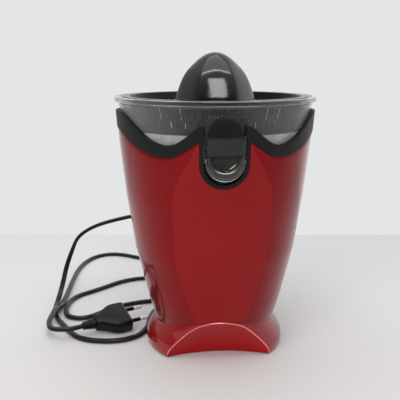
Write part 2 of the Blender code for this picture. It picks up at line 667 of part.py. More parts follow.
def smooth_route(points, step):
    """A Catmull-Rom curve through the points, sampled at even distances."""
    fine = []
    ends = [points[0] * 2 - points[1]] + points + [points[-1] * 2 - points[-2]]
    for a, b, c, d in zip(ends, ends[1:], ends[2:], ends[3:]):
        for i in range(12):
            t = i / 12
            fine.append(((b * 2) + (c - a) * t + (a * 2 - b * 5 + c * 4 - d) * t ** 2
                         + (b * 3 - a - c * 3 + d) * t ** 3) / 2)
    fine.append(points[-1])
    length = sum((q - p).length for p, q in zip(fine, fine[1:]))
    count = round(length / step)
    even = [fine[0]]
    walked = 0.0
    for p, q in zip(fine, fine[1:]):
        span = (q - p).length
        while len(even) < count and walked + span >= len(even) * length / count:
            even.append(p.lerp(q, (len(even) * length / count - walked) / span))
        walked += span
    even.append(fine[-1])
    return even


def plug_turn():
    heading = Matrix.Rotation(math.radians(PLUG_HEADING), 4, "Z")
    raised = Matrix.Rotation(-math.radians(PLUG_RAISE), 4, "Y")
    rolled = Matrix.Rotation(math.radians(PLUG_ROLL - 90), 4, "X")
    return heading @ raised @ rolled


def make_cord():
    turn = plug_turn()
    points = [Vector(p) * MM for p in CORD_ROUTE] + [PLUG_BASE - turn.to_3x3() @ Vector((GAP, 0, 0))]
    curve = bpy.data.curves.new("mains_cord", "CURVE")
    curve.dimensions = "3D"
    curve.bevel_depth = CORD_WIDTH / 2
    curve.bevel_resolution = 2
    curve.use_fill_caps = True
    spline = curve.splines.new("POLY")
    line = smooth_route(points, CORD_STEP)
    spline.points.add(len(line) - 1)
    for point, place in zip(spline.points, line):
        point.co = (*place, 1)
    curve.materials.append(DARK)
    PARTS.objects.link(bpy.data.objects.new("mains_cord", curve))

    frame = bpy.data.objects.new("plug_frame", None)
    PARTS.objects.link(frame)
    frame.matrix_world = Matrix.Translation(PLUG_BASE) @ turn
    along = Matrix.Rotation(math.pi / 2, 4, "Y")
    boot = turned("plug_boot", [
        (0, 12.7), (6.0, 12.7), (5.9, 10.4), (4.4, 10.0), (4.4, 8.8), (5.4, 8.4), (5.3, 6.4), (3.9, 6.0),
        (3.9, 4.8), (4.8, 4.4), (4.6, 2.4), (3.5, 2.0), (3.4, 0), (0, 0)], DARK, steps=14, closed=False)
    apply_modifiers(boot)
    boot.data.transform(along)
    body = slab("plug_body", [(13, -6.4), (17, -7.4), (34, -17.6), (49, -17.6), (49, 17.6), (34, 17.6),
                              (17, 7.4), (13, 6.4)], -6.8, 6.8, DARK)
    edge = body.modifiers.new("edge", "BEVEL")
    edge.width = 2.0 * MM
    edge.segments = 2
    pieces = [boot, body]
    for i, side in enumerate((1, -1)):
        pin = rod(f"plug_pin_{i + 1}", 2.0, 49.3, 68.3, STEEL, sides=12)
        pin.data.transform(Matrix.Translation((0, 0, pin.location.z)))
        pin.data.transform(Matrix.Translation((0, 0, side * PIN_SPACING / 2)) @ along)
        pin.location = (0, 0, 0)
        pieces.append(pin)
    for piece in pieces:
        piece.parent = frame


make_shells()
make_trim()
make_foot()
make_bowl()
make_spout()
make_strainer()
make_cone()
make_gearbox()
make_gears()
make_spindle()
make_motor()
make_gland()
make_cord()
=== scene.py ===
"""Looks of the citrus press: fine surfaces, materials, cord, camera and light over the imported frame."""
import math

import bmesh
import bpy
from mathutils import Matrix, Vector


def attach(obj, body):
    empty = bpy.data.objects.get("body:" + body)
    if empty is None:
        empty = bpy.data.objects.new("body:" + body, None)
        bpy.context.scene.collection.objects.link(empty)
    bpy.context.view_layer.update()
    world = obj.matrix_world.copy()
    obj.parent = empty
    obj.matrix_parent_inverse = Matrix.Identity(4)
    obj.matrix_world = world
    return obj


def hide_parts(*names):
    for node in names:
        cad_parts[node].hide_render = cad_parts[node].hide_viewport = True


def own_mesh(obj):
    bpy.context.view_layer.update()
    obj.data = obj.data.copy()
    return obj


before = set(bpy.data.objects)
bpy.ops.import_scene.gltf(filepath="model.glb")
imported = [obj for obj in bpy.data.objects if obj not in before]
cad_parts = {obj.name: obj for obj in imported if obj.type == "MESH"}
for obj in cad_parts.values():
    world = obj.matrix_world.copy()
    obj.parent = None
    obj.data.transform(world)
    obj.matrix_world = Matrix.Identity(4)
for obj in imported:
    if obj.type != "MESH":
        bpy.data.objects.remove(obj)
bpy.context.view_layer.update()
MM = 0.001

# ---------------------------------------------------------------- camera

camera = bpy.data.objects.new("camera", bpy.data.cameras.new("camera"))
bpy.context.scene.collection.objects.link(camera)
bpy.context.scene.camera = camera
camera.data.lens = 54.0
camera.data.sensor_width = 36.0
camera.data.clip_start = 0.02
camera.location = (-0.0542, -0.5634, 0.271)
camera.rotation_euler = (math.radians(77.0), 0.0, math.radians(-4.08))


# ---------------------------------------------------------------- materials

def new_material(name, colour, roughness, **sockets):
    """A Principled material whose colour, gloss and surface vary with noise in object space.

    Extra keywords: spread (colour variation), grain (noise scale), bump (height in metres), bump_grain,
    and any socket of the shader by name with underscores for spaces.
    """
    spread = sockets.pop("spread", 0.08)
    grain = sockets.pop("grain", 60.0)
    bump = sockets.pop("bump", 0.00002)
    bump_grain = sockets.pop("bump_grain", 900.0)
    rough_spread = sockets.pop("rough_spread", 0.25)
    made = bpy.data.materials.new(name)
    made.use_nodes = True
    nodes, links = made.node_tree.nodes, made.node_tree.links
    shader = nodes["Principled BSDF"]
    for socket, value in sockets.items():
        shader.inputs[socket.replace("_", " ")].default_value = value
    place = nodes.new("ShaderNodeTexCoord")

    def noise(scale, detail):
        made_noise = nodes.new("ShaderNodeTexNoise")
        made_noise.inputs["Scale"].default_value = scale
        made_noise.inputs["Detail"].default_value = detail
        links.new(place.outputs["Object"], made_noise.inputs["Vector"])
        return made_noise.outputs["Fac"]

    tone = nodes.new("ShaderNodeValToRGB")
    tone.color_ramp.elements[0].position = 0.3
    tone.color_ramp.elements[1].position = 0.7
    tone.color_ramp.elements[0].color = (*[c * (1 - spread) for c in colour], 1)
    tone.color_ramp.elements[1].color = (*[min(1.0, c * (1 + spread)) for c in colour], 1)
    links.new(noise(grain, 3.0), tone.inputs["Fac"])
    links.new(tone.outputs["Color"], shader.inputs["Base Color"])
    gloss = nodes.new("ShaderNodeMapRange")
    gloss.inputs["To Min"].default_value = roughness * (1 - rough_spread)
    gloss.inputs["To Max"].default_value = roughness * (1 + rough_spread)
    links.new(noise(grain * 0.6, 5.0), gloss.inputs["Value"])
    links.new(gloss.outputs["Result"], shader.inputs["Roughness"])
    if bump:
        lift = nodes.new("ShaderNodeBump")
        lift.inputs["Distance"].default_value = bump
        links.new(noise(bump_grain, 2.0), lift.inputs["Height"])
        links.new(lift.outputs["Normal"], shader.inputs["Normal"])
    return made


def see_through(made, thin, thick):
    """Clear plastic: nearly open face-on and denser at grazing angles."""
    nodes, links = made.node_tree.nodes, made.node_tree.links
    edge = nodes.new("ShaderNodeLayerWeight")
    edge.inputs["Blend"].default_value = 0.35
    cover = nodes.new("ShaderNodeMapRange")
    cover.inputs["To Min"].default_value = thin
    cover.inputs["To Max"].default_value = thick
    links.new(edge.outputs["Facing"], cover.inputs["Value"])
    links.new(cover.outputs["Result"], nodes["Principled BSDF"].inputs["Alpha"])
    return made


MIX_A, MIX_B, MIX_RESULT = 6, 7, 2   # the colour sockets of a Mix node


def graded(made, axis, start, end, low, high):
    """Tint the material from low to high between two places along an object axis."""
    nodes, links = made.node_tree.nodes, made.node_tree.links
    shader = nodes["Principled BSDF"]
    tone = shader.inputs["Base Color"].links[0].from_socket
    split = nodes.new("ShaderNodeSeparateXYZ")
    links.new(nodes["Texture Coordinate"].outputs["Object"], split.inputs["Vector"])
    spot = nodes.new("ShaderNodeMapRange")
    spot.inputs["From Min"].default_value = start
    spot.inputs["From Max"].default_value = end
    links.new(split.outputs[axis], spot.inputs["Value"])
    ramp = nodes.new("ShaderNodeValToRGB")
    ramp.color_ramp.elements[0].color = (*low, 1)
    ramp.color_ramp.elements[1].color = (*high, 1)
    links.new(spot.outputs["Result"], ramp.inputs["Fac"])
    tint = nodes.new("ShaderNodeMix")
    tint.data_type = "RGBA"
    tint.blend_type = "MULTIPLY"
    tint.inputs["Factor"].default_value = 1.0
    links.new(tone, tint.inputs[MIX_A])
    links.new(ramp.outputs["Color"], tint.inputs[MIX_B])
    links.new(tint.outputs[MIX_RESULT], shader.inputs["Base Color"])
    return made


def lacquer(name, colour, roughness, metallic, coat_roughness, coat_ior):
    """Red lacquer under a clear coat."""
    return new_material(name, colour, roughness, Metallic=metallic, Specular_IOR_Level=0.08, Coat_Weight=1.0,
                        Coat_Roughness=coat_roughness, Coat_IOR=coat_ior, spread=0.03, grain=35, bump=0)


# The object has one red finish. It is four materials here, each set against its own part of the photo.
# They are lit and shaded copies of that finish, whose tones and gloss paint in light and shade: one for the
# front panel, one for the sides and back, one for the foot, and a brighter one for the foot's arch.
RED = lacquer("red_lacquer", (0.235, 0.0018, 0.0036), 0.38, 0.2, 0.025, 1.27)
RED_SIDE = lacquer("red_lacquer_side", (0.215, 0.0021, 0.0048), 0.34, 0.48, 0.03, 1.22)
RED_FOOT = lacquer("red_lacquer_foot", (0.245, 0.0020, 0.0040), 0.36, 0.25, 0.03, 1.50)
# The arch copy is brighter: painted light, as if thrown up from the table into the hollow.
RED_ARCH_BOUNCE_LIT = lacquer("red_lacquer_arch_bounce_lit", (0.36, 0.0022, 0.0048), 0.40, 0.2, 0.05, 1.22)
RED_EDGE = new_material("red_edge_painted_glint", (0.95, 0.27, 0.30), 0.2, Metallic=0.9, spread=0.04, grain=60, bump=0)
TRIM = new_material("satin_black", (0.006, 0.006, 0.0063), 0.5, Specular_IOR_Level=0.22,
                    spread=0.12, grain=240, bump=0.00003, bump_grain=1800)
CONE = new_material("polished_black", (0.004, 0.004, 0.0043), 0.10, Specular_IOR_Level=0.45,
                    spread=0.15, grain=80, bump=0.00005, bump_grain=160, rough_spread=0.4)
SMOKE = new_material("smoked_plastic", (0.012, 0.0115, 0.012), 0.22, Specular_IOR_Level=0.2,
                     spread=0.1, grain=70, bump=0)
# LIP_LIGHT, RIM_EDGE, EDGE and RED_EDGE are painted light, in place of glints that the photo shows
LIP = new_material("slot_lip", (0.035, 0.034, 0.034), 0.25, spread=0.6, grain=75, bump=0)
LIP_LIGHT = new_material("slot_lip_painted_glint", (0.32, 0.31, 0.305), 0.25, spread=0.95, grain=140, bump=0)
RIM_EDGE = new_material("rim_edge", (0.23, 0.215, 0.215), 0.15, spread=0.6, grain=45, bump=0)
EDGE = new_material("glint_edge_painted", (0.52, 0.50, 0.47), 0.12, spread=0.35, grain=130, bump=0)
# The bowl's hood gets a dark, dense copy of the smoked plastic: the smoky tint is real, the depth of dark is
# painted shade of the hollow behind it.
HOOD = see_through(new_material("smoked_hood_painted_shade", (0.014, 0.014, 0.0145), 0.05,
                                spread=0.1, grain=60, bump=0), 0.80, 0.95)
CLEAR = see_through(new_material("clear_plastic", (0.28, 0.272, 0.276), 0.06, Specular_IOR_Level=0.35,
                                 spread=0.04, grain=40, bump=0), 0.035, 0.80)
# A pale copy of the clear plastic for the bowl's floor and lower wall: painted light, where light comes
# through the clear bowl.
PAINTED_PALE = see_through(new_material("pale_floor_painted_light", (0.50, 0.485, 0.48), 0.25,
                                 spread=0.25, grain=90, bump=0), 0.42, 0.85)
SPOUT = see_through(new_material("clear_spout", (0.050, 0.047, 0.044), 0.05,
                                 spread=0.3, grain=160, bump=0), 0.62, 0.90)
DARK = new_material("moulded_black", (0.004, 0.004, 0.0042), 0.24, Specular_IOR_Level=0.25,
                    spread=0.15, grain=200, bump=0.00003, bump_grain=1500)
CORD = new_material("cord_black", (0.005, 0.005, 0.0052), 0.26, Specular_IOR_Level=0.3,
                    spread=0.18, grain=300, bump=0.00002, bump_grain=2500)
RUBBER = new_material("rubber", (0.012, 0.012, 0.012), 0.78, spread=0.2, grain=400, bump=0.00006)
STEEL = new_material("steel", (0.55, 0.555, 0.56), 0.32, Metallic=1.0, spread=0.06, grain=500, bump=0.00001)
PIN = new_material("nickel", (0.80, 0.79, 0.77), 0.28, Metallic=0.45, spread=0.06, grain=500, bump=0.000008)
BRASS = new_material("bush_bronze", (0.62, 0.45, 0.20), 0.38, Metallic=1.0, spread=0.1, grain=700,
                     bump=0.00002)
COPPER = new_material("winding", (0.50, 0.20, 0.08), 0.38, Metallic=0.9, spread=0.2, grain=900, bump=0.00015)
NYLON = new_material("nylon", (0.74, 0.72, 0.66), 0.42, spread=0.05, grain=90, bump=0.00002)


# ---------------------------------------------------------------- mesh helpers

def piece(name, mesh, paint, body, replaces=(), smooth=30):
    """Link a mesh as a visible piece on a body, in place of the CAD nodes named."""
    made = bpy.data.objects.new(name, mesh)
    bpy.context.scene.collection.objects.link(made)
    mesh.materials.clear()
    mesh.materials.append(paint)
    mesh.shade_smooth()
    mesh.set_sharp_from_angle(angle=math.radians(smooth))
    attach(made, body)
    if replaces:
        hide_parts(*replaces)
    return made


def scratch(mesh, name="tool"):
    """A helper object that carries modifiers; the function that makes it removes it."""
    made = bpy.data.objects.new(name, mesh)
    bpy.context.scene.collection.objects.link(made)
    return made


def mesh_from(bm, name="mesh"):
    mesh = bpy.data.meshes.new(name)
    bmesh.ops.recalc_face_normals(bm, faces=bm.faces)
    bm.to_mesh(mesh)
    bm.free()
    return mesh


def evaluated(made):
    """The object's mesh with its modifiers applied."""
    bpy.context.view_layer.update()
    return bpy.data.meshes.new_from_object(made.evaluated_get(bpy.context.evaluated_depsgraph_get()))


def cut(mesh, tools, operation="DIFFERENCE"):
    """Boolean a mesh with tool meshes in turn and return the result."""
    base = scratch(mesh, "base")
    helpers = []
    for tool in tools:
        helper = scratch(tool)
        helpers.append(helper)
        step = base.modifiers.new("cut", "BOOLEAN")
        step.operation = operation
        step.solver = "EXACT"
        step.object = helper
    done = evaluated(base)
    for old in [base] + helpers:
        bpy.data.objects.remove(old, do_unlink=True)
    return done


def softened(mesh, width, segments=3, angle=30):
    """The mesh with its sharp edges rounded."""
    base = scratch(mesh, "base")
    edge = base.modifiers.new("edge", "BEVEL")
    edge.width = width
    edge.segments = segments
    edge.limit_method = "ANGLE"
    edge.angle_limit = math.radians(angle)
    edge.use_clamp_overlap = True
    done = evaluated(base)
    bpy.data.objects.remove(base, do_unlink=True)
    return done


def turned(profile, steps=96, closed=True, centre=(0, 0)):
    """A profile of (radius, height) in millimetres turned about Z."""
    bm = bmesh.new()
    rings = []
    for radius, height in profile:
        if radius == 0:
            rings.append([bm.verts.new((centre[0] * MM, centre[1] * MM, height * MM))])
            continue
        rings.append([bm.verts.new(((centre[0] + radius * math.cos(math.tau * i / steps)) * MM,
                                    (centre[1] + radius * math.sin(math.tau * i / steps)) * MM, height * MM))
                      for i in range(steps)])
    pairs = list(zip(rings, rings[1:]))
    if closed:
        pairs.append((rings[-1], rings[0]))
    for a, b in pairs:
        for i in range(steps):
            j = (i + 1) % steps
            corners = [a[i % len(a)], a[j % len(a)], b[j % len(b)], b[i % len(b)]]
            unique = list(dict.fromkeys(corners))
            if len(unique) > 2:
                bm.faces.new(unique)
    return mesh_from(bm)


def slab(outline, y0, y1):
    """A flat (x, z) outline in millimetres between two values of Y."""
    bm = bmesh.new()
    near = [bm.verts.new((x * MM, y0 * MM, z * MM)) for x, z in outline]
    far = [bm.verts.new((x * MM, y1 * MM, z * MM)) for x, z in outline]
    bm.faces.new(near)
    bm.faces.new(list(reversed(far)))
    for i in range(len(outline)):
        j = (i + 1) % len(outline)
        bm.faces.new((near[j], near[i], far[i], far[j]))
    return mesh_from(bm)


def block(low, high):
    return slab([(low[0], low[2]), (high[0], low[2]), (high[0], high[2]), (low[0], high[2])], low[1], high[1])


def tube(rings):
    """A closed tube through rings of points."""
    bm = bmesh.new()
    loops = [[bm.verts.new(point) for point in ring] for ring in rings]
    for a, b in zip(loops, loops[1:]):
        for i in range(len(a)):
            j = (i + 1) % len(a)
            bm.faces.new((a[i], a[j], b[j], b[i]))
    bm.faces.new(loops[0])
    bm.faces.new(list(reversed(loops[-1])))
    return mesh_from(bm)


def heading(line, i):
    """The direction of a line of points at one of them."""
    return (line[min(i + 1, len(line) - 1)] - line[max(i - 1, 0)]).normalized()


def arc(cx, cz, radius, start, end, steps):
    turns = [math.radians(start + (end - start) * i / steps) for i in range(steps + 1)]
    return [(cx + radius * math.cos(t), cz + radius * math.sin(t)) for t in turns]


def interpolate(table, x):
    """A value on the straight lines between (x, y) pairs in order of x."""
    for (x0, y0), (x1, y1) in zip(table, table[1:]):
        if x <= x1:
            return y0 + (y1 - y0) * max(0.0, x - x0) / (x1 - x0)
    return table[-1][1]


def spline_value(table, x):
    """A Catmull-Rom value through (x, y) pairs in order of x."""
    last = len(table) - 1
    for i in range(last):
        x0, y0 = table[i]
        x1, y1 = table[i + 1]
        if x <= x1 or i == last - 1:
            before = table[max(0, i - 1)]
            after = table[min(last, i + 2)]
            m0 = (y1 - before[1]) / (x1 - before[0])
            m1 = (after[1] - y0) / (after[0] - x0)
            t = min(1.0, max(0.0, (x - x0) / (x1 - x0)))
            span = x1 - x0
            return ((2 * t ** 3 - 3 * t ** 2 + 1) * y0 + (t ** 3 - 2 * t ** 2 + t) * m0 * span
                    + (3 * t ** 2 - 2 * t ** 3) * y1 + (t ** 3 - t ** 2) * m1 * span)
    return table[-1][1]


def swing(low, high, start, end, x):
    """Half a cosine from low at start to high at end."""
    t = min(1.0, max(0.0, (x - start) / (end - start)))
    return low + (high - low) * (1 - math.cos(math.pi * t)) / 2


# ---------------------------------------------------------------- cord and plug

# The lead's route in millimetres: the CAD tube's points, but for the two at the tip of the far loop, which
# lie up to 1.6 mm nearer so that the finer curve stays in the CAD box
ROUTE_MM = [
    (0, 77, 106), (0, 93, 106), (-5, 108, 105.5), (-22, 121, 103), (-52, 124, 100), (-88, 119, 94.5),
    (-119, 123, 86), (-138, 127, 77), (-150, 128, 67), (-157, 127, 53), (-163.5, 122, 35), (-167, 114, 20),
    (-169.5, 104, 9.5), (-171, 92, 4), (-171, 78, 3), (-169.5, 63, 3), (-165, 47, 3), (-157, 31, 3),
    (-148, 15, 3), (-139, 1, 3), (-128, -7.5, 3), (-115, -11.5, 3), (-102, -12.5, 3),
    (-89, -10, 3), (-76, -1, 3), (-68, 16, 3), (-65, 38, 3), (-60, 58, 3), (-48, 76, 3),
    (-30, 91, 3), (-10, 103, 3), (2, 120, 3), (-3, 142, 3), (-22, 156, 3), (-48, 161, 3),
    (-72, 162, 3), (-88, 159, 3), (-104, 150, 3), (-119, 136, 3), (-134, 122, 3), (-147, 111, 3),
    (-155.5, 97, 3), (-158.5, 80, 3), (-157.5, 62.5, 3), (-152.2, 49.8, 3), (-139.5, 44.5, 3),
    (-126.8, 49.8, 3), (-114, 62.5, 3), (-98, 75, 3), (-80, 83, 3), (-62, 88, 3), (-44, 97, 3),
    (-27, 113, 3), (-14, 132, 6), (-6, 150, 9.7), (-6, 172, 6), (-16, 196, 3), (-36, 218, 3),
    (-60, 233, 3), (-84, 246, 3), (-104, 258.8, 3), (-123, 263.4, 3), (-142, 254, 3),
    (-155, 230, 3), (-161, 199, 3), (-163, 162, 3), (-163.5, 126, 3), (-164, 101, 3),
    (-164.5, 84, 3.2), (-165.5, 68, 6.6), (-167, 53, 9.8), (-167.5, 38, 10.4), (-168, 20, 10.4),
    (-164.8, 5.9, 10.3), (-156.7, -0.4, 10.6), (-144, 0.1, 10.5)]
PLUG_BASE = Vector((-133, 5, 10.6)) * MM
PLUG_TURN = (Matrix.Rotation(math.radians(24.0), 4, "Z") @ Matrix.Rotation(-math.radians(1.5), 4, "Y")
             @ Matrix.Rotation(math.radians(15.0 - 90), 4, "X"))
CORD_WIDTH = 5.4 * MM
CORD_THICK = 4.3 * MM
EXIT_HEIGHT = 106.0
CORD_START_Z = EXIT_HEIGHT * MM
CORD_ON_TABLE, CORD_RAISED = 3 * MM, 10 * MM  # heights of the route where it lies flat, and where it is clear
CORD_DROP = 0.8 * MM
PLUG_GAP = 0.3 * MM
PIN_OUT = 9.3 * MM                   # each pin from the plug's middle


def cord_line(points, per_span=7):
    """A Catmull-Rom curve through the points."""
    ends = [points[0] * 2 - points[1]] + points + [points[-1] * 2 - points[-2]]
    line = []
    for a, b, c, d in zip(ends, ends[1:], ends[2:], ends[3:]):
        for i in range(per_span):
            t = i / per_span
            line.append(((b * 2) + (c - a) * t + (a * 2 - b * 5 + c * 4 - d) * t ** 2
                         + (b * 3 - a - c * 3 + d) * t ** 3) / 2)
    return line + [points[-1]]


def settle(point):
    """The flat lead is thinner than its CAD tube, so where it lies on the table it lies lower."""
    lift = (point.z - CORD_ON_TABLE) / (CORD_RAISED - CORD_ON_TABLE)
    drop = CORD_DROP * (1 - min(1.0, max(0.0, lift)))
    return Vector((point.x, point.y, point.z - drop))


def flat_section(steps=20):
    """Outline of a flat two-core lead, (width, height), with a shallow groove along the middle."""
    half_w, half_t = CORD_WIDTH / 2, CORD_THICK / 2
    outline = []
    for i in range(steps):
        a = math.tau * (i + 0.5) / steps
        x = half_w * math.copysign(abs(math.cos(a)) ** 0.8, math.cos(a))
        y = half_t * math.copysign(abs(math.sin(a)) ** 0.62, math.sin(a))
        groove = 0.22 * half_t * math.exp(-(x / (0.28 * half_w)) ** 2)
        outline.append((x, y - math.copysign(groove, y)))
    return outline


def make_cord():
    turn = PLUG_TURN.to_3x3()
    points = [Vector(p) * MM for p in ROUTE_MM] + [PLUG_BASE - turn @ Vector((PLUG_GAP, 0, 0))]
    line = [settle(p) for p in cord_line(points)]
    section = flat_section()
    rings = []
    for i, centre in enumerate(line):
        ahead = heading(line, i)
        side = ahead.cross(Vector((0, 0, 1))).normalized()
        up = side.cross(ahead).normalized()
        rings.append([centre + side * x + up * y for x, y in section])
    cord = piece("cord_lead", tube(rings), CORD, "stand", ["mains_cord"], 60)

    def on_plug(name, mesh, paint, nodes, smooth=35):
        mesh.transform(Matrix.Translation(PLUG_BASE) @ PLUG_TURN)
        return piece(name, mesh, paint, "stand", nodes, smooth)

    along = Matrix.Rotation(math.pi / 2, 4, "Y")
    ribs = [(0, 0), (3.0, 0), (3.3, 0.5)]
    for i in range(4):
        start = 1.2 + i * 2.9
        wide = 4.3 + 0.42 * i
        ribs += [(wide - 0.9, start), (wide, start + 0.35), (wide + 0.08, start + 1.65),
                 (wide - 0.8, start + 2.0)]
    ribs += [(5.2, 12.8), (0, 12.8)]
    boot_mesh = softened(turned(list(reversed(ribs)), 40, closed=False), 0.15 * MM, 2)
    boot_mesh.transform(along)
    boot = on_plug("plug_sleeve", boot_mesh, DARK, ["plug_boot"])
    outline = [(12.9, -5.9), (16.5, -6.6), (21, -9.0), (27, -13.6), (31.5, -16.5), (36, -17.6), (49, -17.6)]
    outline += [(x, -z) for x, z in reversed(outline)]
    body_mesh = softened(slab(outline, -6.8, 6.8), 2.4 * MM, 5, 40)
    grips = [block((21 + 3.2 * i, low, -30), (22.3 + 3.2 * i, high, 30))
             for low, high in ((-8.2, -6.35), (6.35, 8.2)) for i in range(4)]
    body = on_plug("plug_shell", cut(body_mesh, grips), DARK, ["plug_body"])
    for i, side in enumerate((1, -1)):
        seat = Matrix.Translation((0, 0, side * PIN_OUT)) @ along
        metal = turned([(0, 68.3), (1.2, 68.2), (1.75, 67.6), (2.0, 66.6), (2.0, 59.4), (0, 59.4)], 28,
                       closed=False)
        sleeve = turned([(0, 59.2), (1.85, 59.2), (2.0, 58.9), (2.0, 49.2), (0, 49.2)], 28, closed=False)
        metal.transform(seat)
        sleeve.transform(seat)
        on_plug(f"pin_tip_{i + 1}", metal, PIN, [f"plug_pin_{i + 1}"])
        on_plug(f"pin_sleeve_{i + 1}", sleeve, DARK, [])


make_cord()


# ---------------------------------------------------------------- red body, collar and foot

BODY_PROFILE = [(57.0, 20), (58.3, 25), (65.5, 50), (77.0, 100), (84.3, 150), (89.5, 200), (91.4, 228)]
PANEL_HALF = [(30, 17.0), (42, 21.5), (58, 25.5), (87, 30.5), (118, 31.4), (150, 30.5), (166, 28.6),
              (174, 25.8), (184, 22.5), (198, 16.5), (232, 10.0)]     # (height, half width in degrees)
PANEL_FLAT = 0.34                    # 0 follows the round body, 1 is a flat facet
SEAM_LOW, SEAM_RISE = 26.0, 14.0     # lower edge of the body at its sides, and its climb at the front
SKIN = 2.4
U_HALF, U_BOTTOM, U_BAND = 20.8, 168.0, 3.6
SLOT_TOP = 240.0                     # above every wall, so that the U is open at its top
THROUGH_FRONT = (-120, -60)          # Y on both sides of the front wall
TRIM_WALL, TRIM_PROUD, TRIM_GAP = 3.2, 0.6, 0.3
BAND_LOW, BAND_TALL = 164.0, 55.6    # the skin that the U-shaped band is cut from
HORN_Z, HORN_ROUND = 214.5, 3.4      # the band's two upper corners
EDGE_ROLL, ROLL_TALL = 0.35, 0.7     # how far the shells' upper edge turns in, and over what height
CORD_HOLE = 4.7


def body_radius(z):
    return interpolate([(h, r) for r, h in BODY_PROFILE], z)


def panel_half(z):
    return math.radians(spline_value(PANEL_HALF, z))


def skin_radius(angle, z):
    """Radius of the red surface in millimetres; the front panel is flatter than the sides."""
    angle = (angle + math.pi) % math.tau - math.pi
    half = panel_half(z)
    if abs(angle) >= half:
        return body_radius(z)
    return body_radius(z) * (1 - PANEL_FLAT * (1 - math.cos(half) / math.cos(angle)))


def seam_height(angle):
    return SEAM_LOW + SEAM_RISE * max(0.0, math.cos(angle)) ** 3


def fold(angle):
    """Degrees from the nearer of front and back, 0 to 90."""
    turn = abs(math.degrees(angle)) % 360
    turn = min(turn, 360 - turn)
    return min(turn, 180 - turn)


def red_top(angle):
    a = fold(angle)
    if a < 33:
        return min(209.5, swing(216, 193.3, 0, 33, a))
    return swing(193.3, 213, 33, 85, a)


def trim_top(angle):
    a = fold(angle)
    if a < 32:
        return min(219.8, swing(230.6, 203.8, 0, 32, a))
    return swing(203.8, 228, 32, 73, a)


def on_body(radius, angle, z):
    return Vector((radius * math.sin(angle), -radius * math.cos(angle), z)) * MM


def skin_mesh(angles, rows, place, thickness, closed=False, edge=0.35, steps=2):
    """A skin from place(angle, row) thickened inwards, its rims rounded."""
    bm = bmesh.new()
    grid = [[bm.verts.new(place(a, r / rows)) for r in range(rows + 1)] for a in angles]
    count = len(grid) if closed else len(grid) - 1
    for c in range(count):
        here = grid[c]
        beyond = grid[(c + 1) % len(grid)]
        for r in range(rows):
            bm.faces.new((here[r], beyond[r], beyond[r + 1], here[r + 1]))
    base = scratch(mesh_from(bm), "skin")
    wall = base.modifiers.new("wall", "SOLIDIFY")
    wall.thickness = thickness * MM
    wall.offset = -1
    done = evaluated(base)
    bpy.data.objects.remove(base, do_unlink=True)
    return softened(done, edge * MM, steps, 50) if edge else done


def soft_front(angle, z):
    """The front skin with its two creases eased over about a millimetre."""
    total = 0.0
    ease = math.radians(0.45)
    for shift, weight in ((-1, 0.22), (-0.5, 0.2), (0, 0.16), (0.5, 0.2), (1, 0.22)):
        total += skin_radius(angle + shift * ease, z) * weight
    return total


def u_outline(half, bottom, top, steps=24):
    """A slot with a round bottom and a flat top."""
    return arc(0, bottom + half, half, 180, 360, steps) + [(half, top), (-half, top)]


def arch_outline(half, bottom, top, steps=24):
    """A slot with a flat bottom and a round top."""
    return arc(0, top - half, half, 0, 180, steps) + [(-half, bottom), (half, bottom)]


def make_shells():
    half_gap = 0.0035                # radians between the two shells, on each side
    rows, columns = 56, 132

    def place(angle, row):
        low, high = seam_height(angle), red_top(angle)
        z = low * (1 - row) + high * row
        roll = EDGE_ROLL * (1 - max(0.0, high - z) / ROLL_TALL) ** 2 if z > high - ROLL_TALL else 0.0
        return on_body(skin_radius(angle, z) - roll, angle, z)

    def front_place(step, row):
        """Columns 0-44 and 88-132 are the sides and 44-88 the panel, whose edges are columns too."""
        side = columns // 3
        edge = math.pi / 2 - half_gap
        angle = (step / columns - 0.5) * math.pi
        for _ in range(4):
            z = seam_height(angle) * (1 - row) + red_top(angle) * row
            half = panel_half(z)
            if step <= side:
                angle = -edge + (edge - half) * step / side
            elif step >= 2 * side:
                angle = half + (edge - half) * (step - 2 * side) / side
            else:
                angle = half * (2 * (step - side) / side - 1)
        return place(angle, row)

    front = skin_mesh(list(range(columns + 1)), rows, front_place, SKIN, edge=0)
    slot = slab(u_outline(U_HALF, U_BOTTOM, SLOT_TOP), *THROUGH_FRONT)
    front = piece("front_skin", softened(cut(front, [slot]), 0.35 * MM, 3, 60), RED, "stand",
                  ["front_shell"], 40)
    front.data.materials.append(RED_SIDE)
    # Panel faces take the panel copy of the red and side faces the side copy: painted light and shade, not
    # two paints.
    for face in front.data.polygons:
        x, y, z = face.center
        face.material_index = int(abs(math.atan2(x, -y)) > panel_half(z / MM))
    back_angles = [(math.pi / 2 + half_gap) + (math.pi - 2 * half_gap) * i / 80 for i in range(81)]
    rear = skin_mesh(back_angles, 32, place, SKIN, edge=0)
    hole = turned([(0, -15), (CORD_HOLE, -15), (CORD_HOLE, 15), (0, 15)], 32, closed=False)
    exit_place = Matrix.Translation((0, body_radius(EXIT_HEIGHT) * MM, CORD_START_Z))
    hole.transform(exit_place @ Matrix.Rotation(math.pi / 2, 4, "X"))
    piece("rear_skin", softened(cut(rear, [hole]), 0.35 * MM, 3, 60), RED_SIDE, "stand",
          ["rear_shell"], 40)


